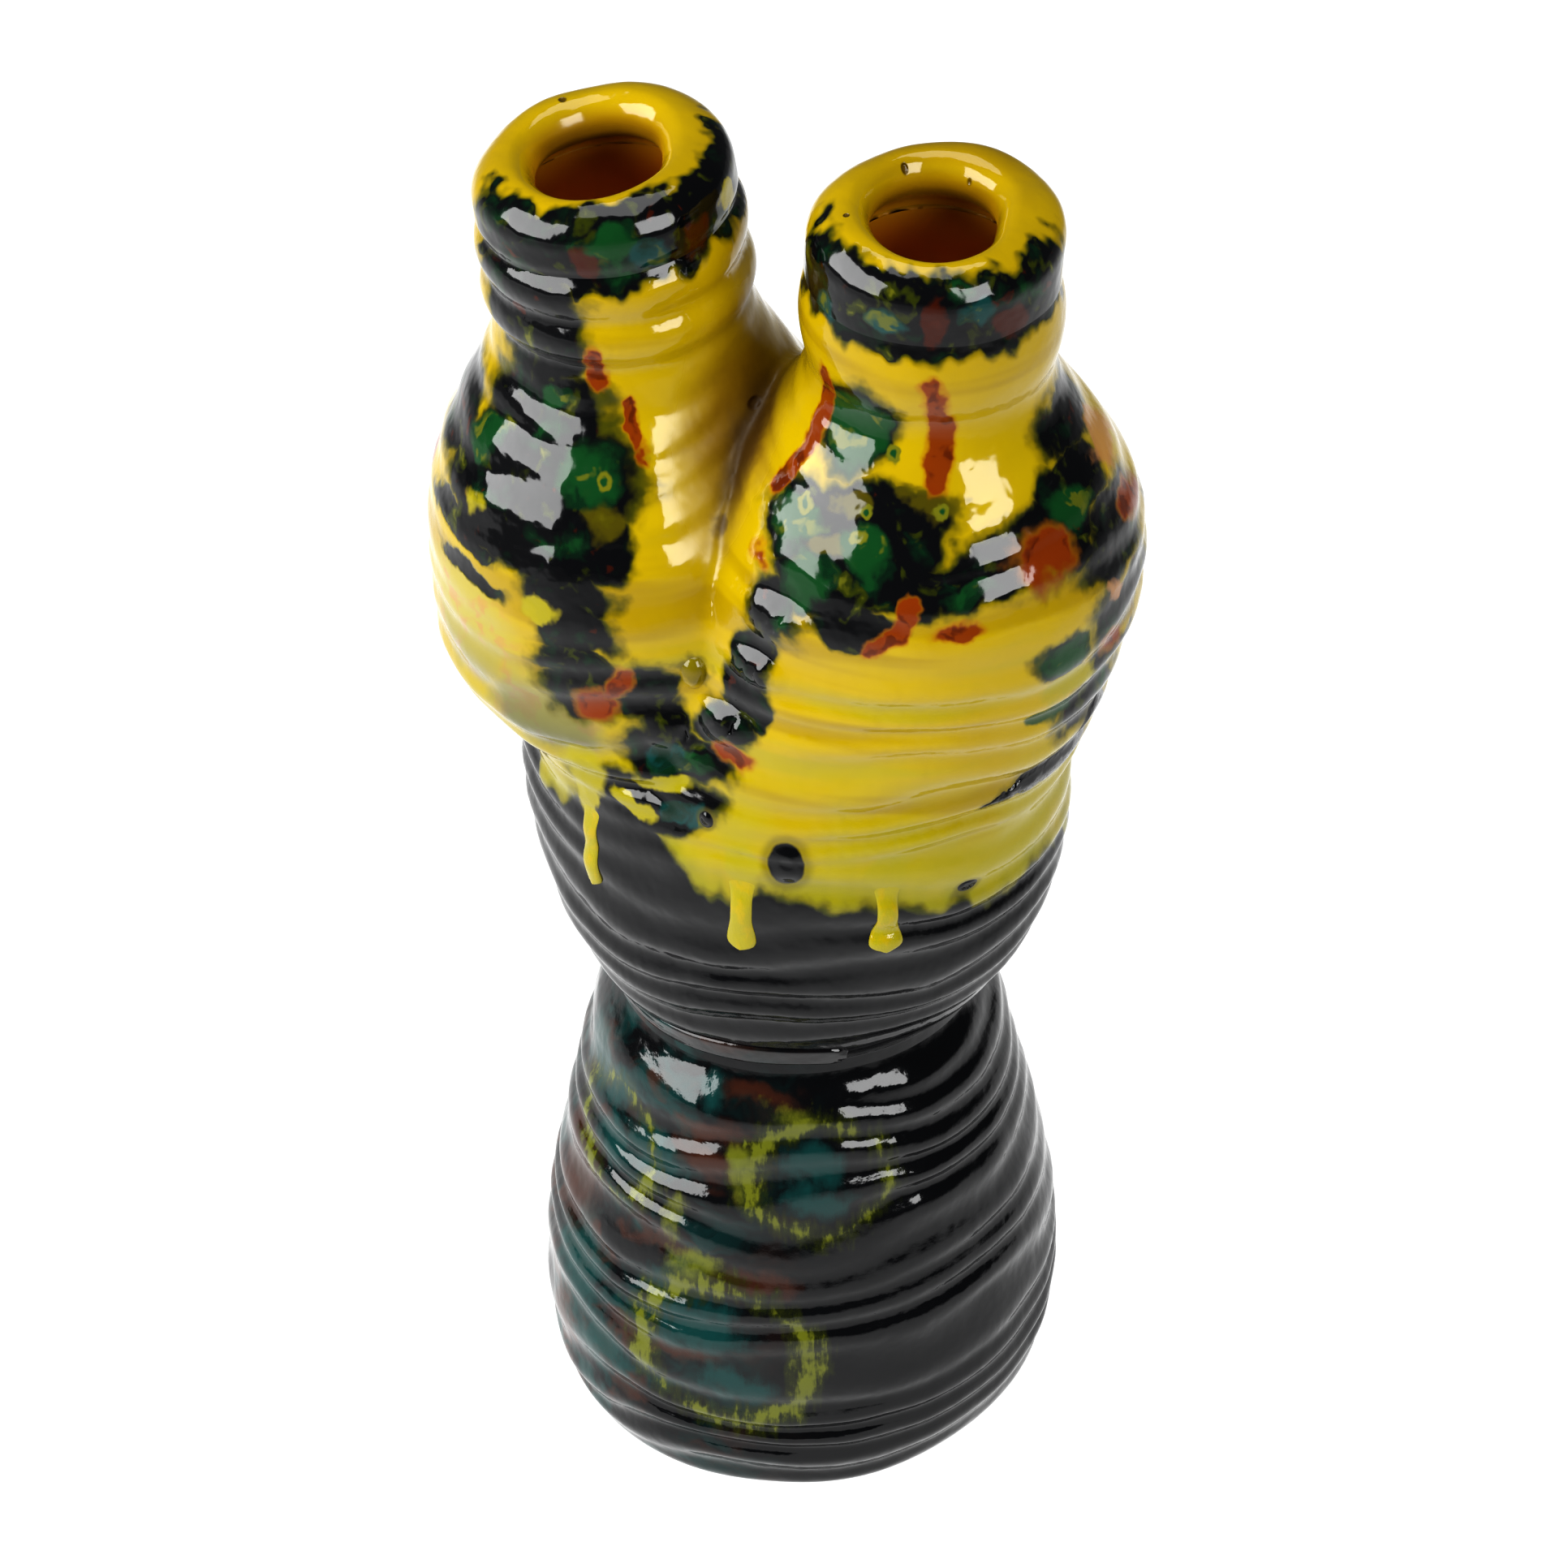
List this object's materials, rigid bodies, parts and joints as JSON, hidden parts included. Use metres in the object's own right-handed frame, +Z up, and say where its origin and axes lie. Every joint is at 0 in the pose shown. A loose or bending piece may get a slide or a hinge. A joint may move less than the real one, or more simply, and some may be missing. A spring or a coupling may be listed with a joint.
{
  "type": "twin-necked ceramic vase",
  "caption": "Thrown stoneware vase with a ridged bell foot, narrow waist, oval bowl and joined bottle forms that open in rolled mouths, under glossy splashed glaze.",
  "frame": {"origin": "centre of the flat underside of the foot, where the vase stands", "axes": "+Z up; +X from the leaning left bottle to the upright right bottle; the front of the vase faces -Y"},
  "size_m": [0.1383, 0.1052, 0.3002],
  "materials": {
    "black_glaze": "glossy black glaze over throwing rings, with teal, rust and yellow-green splashes",
    "yellow_glaze": "glossy lemon to golden glaze with black, green and rust splashes",
    "golden_glaze": "glossy golden glaze with a dark mottled collar",
    "pale_glaze": "glossy pale lemon glaze, thick where it has run"
  },
  "bodies": {
    "root": {"foot_section": "black_glaze", "waist_coil": "black_glaze", "bowl_section": "black_glaze", "left_bottle": "yellow_glaze", "right_bottle": "yellow_glaze", "left_neck": "yellow_glaze", "right_neck": "yellow_glaze", "left_rim": "golden_glaze", "right_rim": "golden_glaze", "seam_coil": "yellow_glaze", "seam_pellet": "pale_glaze", "left_glaze_run": "pale_glaze", "centre_glaze_run": "pale_glaze", "right_glaze_run": "pale_glaze"}
  },
  "joints": []
}
